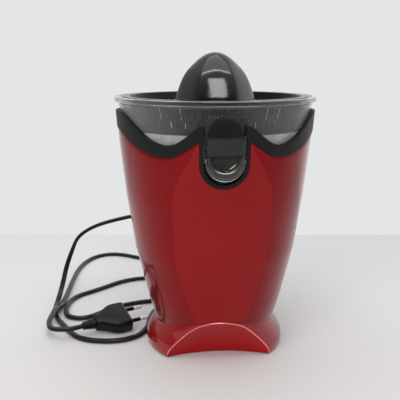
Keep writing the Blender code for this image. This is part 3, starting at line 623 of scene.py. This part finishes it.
def make_collar():
    columns = 264

    def place(angle, row):
        z = (red_top(angle) + TRIM_GAP) * (1 - row) + trim_top(angle) * row
        return on_body(body_radius(z) + TRIM_PROUD, angle, z)

    def band_place(angle, row):
        z = BAND_LOW + BAND_TALL * row
        return on_body(skin_radius(angle, z) + TRIM_PROUD, angle, z)

    around = [math.tau * i / columns for i in range(columns)]
    collar = skin_mesh(around, 6, place, TRIM_WALL, closed=True, edge=0)
    outer = U_HALF - TRIM_GAP
    depth = skin_mesh([math.radians(20) * (i / 16 - 1) for i in range(33)], 12, band_place, TRIM_WALL, edge=0)
    peak = [(outer, HORN_Z)] + arc(outer - HORN_ROUND, HORN_Z, HORN_ROUND, 0, 90, 8)[1:]
    peak += [(-x, z) for x, z in reversed(peak)]
    band = slab(arc(0, U_BOTTOM + TRIM_GAP + outer, outer, 180, 360, 40) + peak, *THROUGH_FRONT)
    band = cut(band, [depth], "INTERSECT")
    collar = cut(collar, [band], "UNION")
    inner = U_HALF - U_BAND
    collar = cut(collar, [slab(u_outline(inner, U_BOTTOM + U_BAND, SLOT_TOP, 40), *THROUGH_FRONT)])
    piece("collar", softened(collar, 0.55 * MM, 3, 40), TRIM, "stand", ["trim_collar"], 35)


SCOOP_Y = -169.0                     # axis of the round hollow in the front of the foot
SCOOP_LOW, SCOOP_HIGH = 132.0, 104.0   # its radius at the table and at the body's lower edge
SCOOP_TOP = 43.0
SCOOP_POWER = 1.2                    # 1 is a straight cone, 2 a round curve
ARCH_WALL = 2.6
ON_SCOOP = 0.7                       # a face this near the scoop's surface takes the brighter arch copy of the red, painted light
CREST_BEAD, CREST_LOW = 0.7 * MM, 2.6 * MM
FLARE_FROM = 43.0                    # radius outside which the foot is shaped to meet the body
FOOT_SIDE = [(58.6, SEAM_LOW - 0.3), (59.6, 24.6), (62.6, 20.5), (64.6, 16.8), (66.0, 13), (67.0, 10),
             (67.5, 7), (67.5, 4.6), (67.3, 2.4), (66.9, 1.1), (66.2, 0.5)]


def scoop_radius(z):
    """The hollow narrows upwards, slowly at first."""
    if z >= SCOOP_TOP:
        return SCOOP_HIGH - 1.6 * (z - SCOOP_TOP)
    share = max(0.0, z) / SCOOP_TOP
    return SCOOP_HIGH + (SCOOP_LOW - SCOOP_HIGH) * (1 - share ** SCOOP_POWER) ** (1 / SCOOP_POWER)


def scoop(extra):
    heights = [z * 2.0 for z in range(20)] + [40.0, 41.8, SCOOP_TOP, 46.0]
    side = [(scoop_radius(z) + extra, z) for z in heights]
    mesh = turned([(0, -10), (SCOOP_LOW + extra, -10)] + side + [(0, 46.0)], 360, closed=False)
    mesh.transform(Matrix.Translation((0, SCOOP_Y * MM, 0)))
    return mesh


def flared(radius, angle, z):
    """A point of the foot, its rim lifted and shaped to meet the red body."""
    weight = swing(0, 1, 9, SEAM_LOW, z)
    raised = z + weight * (seam_height(angle) - SEAM_LOW)
    return on_body(radius + weight * (soft_front(angle, raised) - body_radius(SEAM_LOW)), angle, raised)


def arch_crest(angle):
    """Where the flared side of the foot meets the scoop at an angle from the front, or None."""
    heights = [(z, r) for r, z in reversed(FOOT_SIDE)]

    def inside(z):
        point = flared(interpolate(heights, z), angle, z) / MM
        return math.hypot(point.x, point.y - SCOOP_Y) < scoop_radius(point.z)

    low, high = heights[0][0], heights[-1][0]
    if not inside(low) or inside(high):
        return None
    for _ in range(24):
        middle = (low + high) / 2
        low, high = (middle, high) if inside(middle) else (low, middle)
    return flared(interpolate(heights, low), angle, low)


def bead(points, radius, sides=12):
    """A round bead along a line of points, its ends closed."""
    turns = [math.tau * k / sides for k in range(sides)]
    rings = []
    for i, centre in enumerate(points):
        ahead = heading(points, i)
        out = Vector((centre.x, centre.y, 0)).normalized()
        side = ahead.cross(out).normalized()
        up = side.cross(ahead).normalized()
        rings.append([centre + (side * math.cos(t) + up * math.sin(t)) * radius for t in turns])
    return tube(rings)


def make_foot():
    profile = [(0, 22), (30, 22), (44, SEAM_LOW - 0.3)] + FOOT_SIDE + [(0, 0.5)]
    body = turned(profile, 160, closed=False)
    for vert in body.vertices:
        x, y, z = vert.co / MM
        radius = math.hypot(x, y)
        if radius >= FLARE_FROM:
            vert.co = flared(radius, math.atan2(x, -y), z)
    hollow = turned([(0, 19), (54, 19), (60.5, 16.5), (64.0, 10), (64.8, 6), (64.8, -2), (0, -2)], 96,
                    closed=False)
    hollow = cut(hollow, [scoop(ARCH_WALL)])
    body = softened(cut(body, [scoop(0), hollow]), 0.4 * MM, 3, 40)
    shell = piece("foot_shell", body, RED_FOOT, "stand", ["foot"], 40)
    # Faces on the scoop take the brighter arch copy of the red: painted light thrown up from the table.
    shell.data.materials.append(RED_ARCH_BOUNCE_LIT)
    for face in shell.data.polygons:
        x, y, z = face.center / MM
        face.material_index = int(abs(math.hypot(x, y - SCOOP_Y) - scoop_radius(z)) < ON_SCOOP)
    # The bright metallic bead along the crest is a painted highlight on the arch's edge.
    crest = [arch_crest(math.radians(70 * (i / 60 - 1))) for i in range(121)]
    crest = [point for point in crest if point and point.z > CREST_LOW]
    piece("arch_edge", bead(crest, CREST_BEAD), RED_EDGE, "stand", [], 80)


make_shells()
make_collar()
make_foot()


# ---------------------------------------------------------------- bowl, spout, strainer and cone

SPOUT_HALF, SPOUT_INSIDE = 14.5, 12.4   # half widths of the hood and trough, outside and inside
PAINTED_PALE_TOP = 212.3                    # the bowl's floor and lower wall are painted pale below this height, as painted light
LIT_RIM = 74 * MM                    # the rim's beads are painted as a brighter highlight from here out to its sides


def make_bowl():
    profile = [(92.0, 240.4), (92.6, 240.3), (93.0, 239.6), (93.0, 236.7), (92.5, 236.0), (90.8, 235.4),
               (89.5, 234.2), (88.7, 231.4), (88.1, 226), (87.2, 215), (86.8, PAINTED_PALE_TOP), (86.3, 208.5),
               (85.2, 202.6), (83.4, 197.7), (81.2, 193.5), (79.1, 190.3), (76.5, 188), (11.2, 188),
               (11.2, 215), (13.4, 215), (13.4, 190.2), (75.6, 190.2), (77.6, 192.2), (79.3, 194.8),
               (81.4, 199), (82.8, 202.6), (84.2, 209.5), (84.6, PAINTED_PALE_TOP), (85.0, 215.5), (86.0, 228.5),
               (86.5, 236.9), (81.7, 237.1), (81.7, 238.8), (88.4, 238.9), (89.2, 240.4)]
    bowl = turned(profile, 160)
    hood = slab(arch_outline(SPOUT_HALF, 197, 227, 40), -91, -80)
    keep = turned([(100, 233.5), (100, 190), (81, 190), (84, 204), (86, 215.5), (87, 229), (88, 233.5)], 160)
    hood = softened(cut(hood, [keep], "INTERSECT"), 1.0 * MM, 3, 50)
    bowl = cut(bowl, [hood], "UNION")
    bowl = cut(bowl, [slab(arch_outline(SPOUT_INSIDE, 190.6, 224.8, 40), -89, -72)])
    shell = piece("bowl_shell", bowl, CLEAR, "bowl", ["juice_bowl"], 30)
    shell.data.materials.append(PAINTED_PALE)
    shell.data.materials.append(HOOD)
    # The floor and lower wall take the pale copy, painted light; the hood takes the dark copy, painted shade.
    for face in shell.data.polygons:
        x, y, z = face.center / MM
        if abs(x) < 15 and y < -80 and 188 < z < 227.4:
            face.material_index = 2
        elif z < PAINTED_PALE_TOP and math.hypot(x, y) > 20 and not (abs(x) < 16 and y < -70):
            face.material_index = 1
    # Three thin beads round the rim are painted highlights: a dimmer copy at front and back, a brighter one
    # towards the sides.
    lines = [bead([on_ring(radius, i, z) for i in range(241)], 0.3 * MM, 8)
             for radius, z in ((92.6, 240.0), (92.6, 236.4), (89.3, 240.0))]
    edges = piece("rim_edges", joined(lines), RIM_EDGE, "bowl", [], 60)
    edges.data.materials.append(EDGE)
    for face in edges.data.polygons:
        face.material_index = int(abs(face.center.x) > LIT_RIM)


def on_ring(radius, step, z):
    turn = math.tau * step / 240
    return Vector((radius * math.sin(turn), -radius * math.cos(turn), z)) * MM


def joined(meshes):
    bm = bmesh.new()
    for mesh in meshes:
        bm.from_mesh(mesh)
    return mesh_from(bm)


def make_spout():
    centre = 196.4
    trough = slab(u_outline(SPOUT_HALF, centre - SPOUT_HALF, centre, 40), -92.6, -83.4)
    inside = slab(u_outline(SPOUT_INSIDE, centre - SPOUT_INSIDE, centre + 5, 40), -100, -85.4)
    trough = cut(trough, [inside])
    lip = slab(arc(0, 192.6, 16.3, 180, 360, 40) + arc(0, 196.6, 14.0, 342, 198, 40), -92.6, -90.4)
    trough = cut(trough, [softened(lip, 0.5 * MM, 3, 50)], "UNION")
    piece("spout_trough", softened(trough, 0.45 * MM, 3, 50), SPOUT, "spout",
          ["drip_stop_spout"], 35)

    def rim(cz, radius, start, end, y):
        """Points along an edge of the spout, for a bead painted as a highlight."""
        return [Vector((x, y, z)) * MM for x, z in arc(0, cz, radius, start, end, 40)]

    def tapered(line, widest, sides=8):
        """A bead that is widest at its middle."""
        turns = [math.tau * k / sides for k in range(sides)]
        outward = Vector((0, 1, 0))
        rings = []
        for i, centre in enumerate(line):
            side = heading(line, i).cross(outward).normalized()
            wide = widest * (0.25 + 0.75 * math.sin(math.pi * (i + 0.5) / len(line)))
            rings.append([centre + (side * math.cos(t) + outward * math.sin(t)) * wide for t in turns])
        return tube(rings)

    # These tapered beads are painted highlights along the spout's edges.
    edges = [tapered(rim(192.6, 15.9, 172, 364, -92.2), 0.45 * MM),
             tapered(rim(193.4, 14.8, 200, 345, -92.2), 0.3 * MM),
             tapered(rim(196.4, 13.3, 215, 330, -92.3), 0.5 * MM),
             tapered(rim(196.4, 11.2, 290, 325, -86.4), 0.7 * MM)]
    piece("spout_edges", joined(edges), EDGE, "spout", [], 60)


SLOT_COUNT, FLOOR_SLOTS = 72, 36
SLOT_HALF = 0.75
SLOT_ROWS = ((0, (224.3, 233.2), (224.0, 233.4)),    # half pitches round, slot heights, lip heights
             (1, (217.0, 221.6), (216.8, 221.8)))
LIP_SIDE, LIP_HALF, LIP_OUT, LIP_IN = 1.05, 0.28, 0.25, 0.4
LIP_FACES = 6                        # faces of one lip
LIT_FROM, LIT_TO = 19, 44            # degrees each side of the front between which lips are painted light


def slot_cutter(x, z0, z1, turn):
    """An upright rounded slot through the strainer's wall."""
    mesh = slab(arc(0, z1 - x, x, 0, 180, 6) + arc(0, z0 + x, x, 180, 360, 6), -90, -68)
    mesh.transform(Matrix.Rotation(turn, 4, "Z"))
    return mesh


def wall_bar(x, z0, z1, turn, wall):
    """A thin raised lip that follows the strainer's wall between two heights."""
    bm = bmesh.new()
    corners = [bm.verts.new(Vector((x + sx * LIP_HALF, -(interpolate(wall, z) + d), z)) * MM)
               for z in (z0, z1) for sx in (-1, 1) for d in (LIP_OUT, -LIP_IN)]
    for quad in ((0, 1, 3, 2), (4, 6, 7, 5), (0, 2, 6, 4), (1, 5, 7, 3), (0, 4, 5, 1), (2, 3, 7, 6)):
        bm.faces.new([corners[k] for k in quad])
    mesh = mesh_from(bm)
    mesh.transform(Matrix.Rotation(turn, 4, "Z"))
    return mesh


def make_strainer():
    profile = [(85.3, 240.45), (85.3, 239.3), (81.2, 239.1), (80.2, 236.6), (78.2, 232), (76.8, 227.5),
               (75.7, 221), (75.2, 216.5), (74.8, 213), (74.2, 211), (72.6, 209.6), (44.5, 209.6),
               (42.6, 202.2), (15.6, 202.2), (15.6, 205.5), (17.4, 205.5), (17.4, 204.0), (41.2, 204.0),
               (43.3, 211.4), (71.6, 211.4), (72.6, 212.4), (73.1, 214), (73.5, 217.5), (74.0, 221.5),
               (75.1, 227.5), (76.6, 232), (78.7, 237.0), (79.2, 240.45)]
    strainer = turned(profile, 144)
    wall = [(213, 74.8), (216.5, 75.2), (221, 75.7), (227.5, 76.8), (232, 78.2), (236.6, 80.2)]
    slots = []
    lips = []
    for i in range(SLOT_COUNT):
        for shift, slot, lip in SLOT_ROWS:
            turn = math.tau * (i + 0.5) / SLOT_COUNT + shift * math.pi / SLOT_COUNT
            slots.append(slot_cutter(SLOT_HALF, *slot, turn))
            lips.append(wall_bar(LIP_SIDE, *lip, turn, wall))
    # The lips are thin bars that carry painted light: some in the front sides take the light copy as painted
    # glints, the rest a dark copy.
    marks = piece("slot_lips", joined(lips), LIP, "strainer", [], 30)
    marks.data.materials.append(LIP_LIGHT)
    for face in marks.data.polygons:
        turn = abs(math.degrees(math.atan2(face.center.x, -face.center.y)))
        bright = (face.index // LIP_FACES) * 5 % 7 < 3      # three in seven, unevenly
        face.material_index = int(LIT_FROM < turn < LIT_TO and bright)
    floor = []
    for i in range(FLOOR_SLOTS):
        bar = block((-0.7, 48 if i % 2 else 52, 206), (0.7, 68, 214))
        bar.transform(Matrix.Rotation(math.tau * (i + 0.5) / FLOOR_SLOTS, 4, "Z"))
        floor.append(bar)
    piece("strainer_basket", cut(strainer, [joined(slots), joined(floor)]), SMOKE, "strainer",
          ["strainer"], 30)


CONE_PROFILE = [(3.4, 279.1), (11.3, 275.9), (18.2, 270.2), (25.1, 262.8), (29.8, 254.9), (33.3, 245.6),
                (35.6, 237.5), (37.4, 226), (38.6, 207.6)]
APEX_Z = 279.5
CONE_BASE = 207.6
TIP_RADIUS, TIP_Z = 11.3, 275.9      # the round tip starts here
RIB_PROUD = 1.03                     # the ribs against the profile
RIBS, RIB_PHASE = 6, -2.4
FLUTE_DEPTH = 0.105                  # share of the radius; the CAD cone has 0.17
RIB_ROUND = 0.05                     # how blunt the ribs are


def make_cone():
    by_height = [(z, r) for r, z in reversed([(0.0, APEX_Z)] + CONE_PROFILE)]
    rows = 90
    heights = [CONE_BASE + (APEX_Z - CONE_BASE) * (1 - (1 - i / rows) ** 1.7) for i in range(rows + 1)]
    columns = 240
    bm = bmesh.new()
    rings = []
    for z in heights[:-1]:
        outer = RIB_PROUD * spline_value(by_height, z)
        if z > TIP_Z:
            outer = RIB_PROUD * TIP_RADIUS * math.sqrt(max(0.0, (APEX_Z - z) / (APEX_Z - TIP_Z)))
        depth = FLUTE_DEPTH * swing(0.1, 1, 0, 20, APEX_Z - z)
        ring = []
        for i in range(columns):
            angle = math.tau * i / columns
            off = abs((angle / (math.tau / RIBS)) % 1 * 2 - 1)
            off = (math.hypot(off, RIB_ROUND) - RIB_ROUND) / (math.hypot(1, RIB_ROUND) - RIB_ROUND)
            ring.append(bm.verts.new(on_body(outer * (1 - depth * (1 - (1 - off) ** 2)), angle
                                             + math.radians(RIB_PHASE), z)))
        rings.append(ring)
    for a, b in zip(rings, rings[1:]):
        for i in range(columns):
            j = (i + 1) % columns
            bm.faces.new((a[i], a[j], b[j], b[i]))
    tip = bm.verts.new((0, 0, APEX_Z * MM))
    for i in range(columns):
        bm.faces.new((rings[-1][i], rings[-1][(i + 1) % columns], tip))
    bm.faces.new(list(reversed(rings[0])))
    body = mesh_from(bm)
    hollow = turned([(15, 254), (26.5, 224), (28, 206), (9, 206), (9, 254)], 72)
    socket = turned([(0, 200), (4.3, 200), (4.3, 244), (0, 244)], 6, closed=False)
    piece("reamer", cut(body, [hollow, socket]), CONE, "cone", ["reamer_cone"], 30)


make_bowl()
make_spout()
make_strainer()
make_cone()


# ---------------------------------------------------------------- the works inside

WORKS = [      # CAD nodes shown as they are; the rest of them are steel, and the feet rubber
    (DARK, ("cord_gland", "base_plate", "drive_deck", "gearbox_housing", "gearbox_cover", "thrust_collar",
            "microswitch", "cooling_fan")),
    (COPPER, ("stator_coil",)),
    (BRASS, ("motor_pinion", "spindle_bush", "upper_bush", "lower_bush")),
    (NYLON, ("idler_gear", "output_gear", "switch_button", "terminal_block"))]


def paint_works():
    paints = {name: paint for paint, names in WORKS for name in names}
    for name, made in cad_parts.items():
        paint = RUBBER if name.startswith("rubber_foot") else paints.get(name, STEEL)
        made.data.materials.clear()
        made.data.materials.append(paint)


paint_works()


def shorten_spring():
    """Give the spring a mesh of its own. The real spring shortens as the cone is pressed; as a rigid coil it
    would meet the thrust collar.
    """
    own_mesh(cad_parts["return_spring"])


shorten_spring()


# ---------------------------------------------------------------- stage and light

TABLE_HALF = (1.6, 0.95)             # metres
TABLE_BACK = 0.36                    # Y of the table's far edge
TABLE_TURN = -4                      # degrees
TABLE_DROP = 0.0004
SIDE_LEAN, SIDE_LEVEL = 0.38, 0.89   # the room is brighter on the right than on the left


def make_stage():
    bpy.context.scene.view_settings.view_transform = "Standard"
    table = bmesh.new()
    bmesh.ops.create_grid(table, x_segments=1, y_segments=1, size=1.0)
    mesh = mesh_from(table, "table")
    made = bpy.data.objects.new("table", mesh)
    bpy.context.scene.collection.objects.link(made)
    made.scale = (*TABLE_HALF, 1)
    made.rotation_euler = (0, 0, math.radians(TABLE_TURN))
    made.location = (0.0, TABLE_BACK - TABLE_HALF[1], -TABLE_DROP)
    mesh.materials.append(TABLE)
    make_world()


def make_world():
    """A pale room: bright overhead, at the sides and behind, darker in front."""
    world = bpy.data.worlds.new("studio")
    bpy.context.scene.world = world
    world.use_nodes = True
    nodes, links = world.node_tree.nodes, world.node_tree.links
    seen = nodes["Background"]
    seen.inputs["Color"].default_value = (0.78, 0.785, 0.80, 1)
    room = nodes.new("ShaderNodeBackground")
    place = nodes.new("ShaderNodeTexCoord")
    split = nodes.new("ShaderNodeSeparateXYZ")
    links.new(place.outputs["Generated"], split.inputs["Vector"])
    back = nodes.new("ShaderNodeValToRGB")
    back.color_ramp.interpolation = "EASE"
    stops = back.color_ramp.elements
    for spot, level in ((0.0, 0.05), (0.2, 0.07), (0.40, 0.34), (0.62, 0.62), (1.0, 0.80)):
        stop = stops[0] if spot == 0.0 else stops[1] if spot == 1.0 else stops.new(spot)
        stop.color = (level, level, level, 1)
    turn = nodes.new("ShaderNodeMath")
    turn.operation = "MULTIPLY_ADD"
    turn.inputs[1].default_value = 0.5
    turn.inputs[2].default_value = 0.5
    links.new(split.outputs["Y"], turn.inputs[0])
    links.new(turn.outputs["Value"], back.inputs["Fac"])
    lean = nodes.new("ShaderNodeMath")
    lean.operation = "MULTIPLY_ADD"
    lean.inputs[1].default_value = SIDE_LEAN
    lean.inputs[2].default_value = SIDE_LEVEL
    links.new(split.outputs["X"], lean.inputs[0])
    walls = nodes.new("ShaderNodeVectorMath")
    walls.operation = "SCALE"
    links.new(back.outputs["Color"], walls.inputs[0])
    links.new(lean.outputs["Value"], walls.inputs["Scale"])
    top = nodes.new("ShaderNodeMapRange")
    top.inputs["From Min"].default_value = 0.45
    top.inputs["From Max"].default_value = 0.95
    links.new(split.outputs["Z"], top.inputs["Value"])
    both = nodes.new("ShaderNodeMix")
    both.data_type = "RGBA"
    links.new(top.outputs["Result"], both.inputs["Factor"])
    links.new(walls.outputs["Vector"], both.inputs[MIX_A])
    both.inputs[MIX_B].default_value = (0.85, 0.86, 0.88, 1)
    links.new(both.outputs[MIX_RESULT], room.inputs["Color"])
    rays = nodes.new("ShaderNodeLightPath")
    choose = nodes.new("ShaderNodeMixShader")
    links.new(rays.outputs["Is Camera Ray"], choose.inputs["Fac"])
    links.new(room.outputs["Background"], choose.inputs[1])
    links.new(seen.outputs["Background"], choose.inputs[2])
    links.new(choose.outputs["Shader"], nodes["World Output"].inputs["Surface"])


def softbox(name, place, aim, width, height, power, glint=True):
    data = bpy.data.lights.new(name, "AREA")
    data.shape = "RECTANGLE"
    data.size = width
    data.size_y = height
    data.energy = power
    made = bpy.data.objects.new(name, data)
    bpy.context.scene.collection.objects.link(made)
    made.location = place
    made.visible_glossy = glint
    made.rotation_euler = (Vector(aim) - Vector(place)).to_track_quat("-Z", "Y").to_euler()


TABLE = new_material("table", (0.615, 0.608, 0.602), 0.6, spread=0.015, grain=6, bump=0.00002, bump_grain=200)
# The table is painted darker and warmer towards the front: painted shade where the light falls off.
graded(TABLE, "Y", 0.10, 0.75, (0.80, 0.775, 0.755), (1.0, 1.0, 1.0))
make_stage()
softbox("ceiling", (-0.1, -0.05, 1.5), (0, 0, 0.1), 1.3, 1.3, 8.2)
softbox("front_fill", (-1.05, -1.35, 0.75), (0, 0, 0.13), 1.2, 0.8, 16.6, glint=False)
softbox("low_fill", (0.1, -1.5, 0.25), (0, 0, 0.08), 0.9, 0.4, 1.5, glint=False)
softbox("window", (0.03, -0.85, 0.86), (0, 0, 0.25), 0.13, 0.46, 1.7)
softbox("strip", (0.0, -0.55, 1.35), (0, 0, 0.15), 0.9, 0.07, 2)
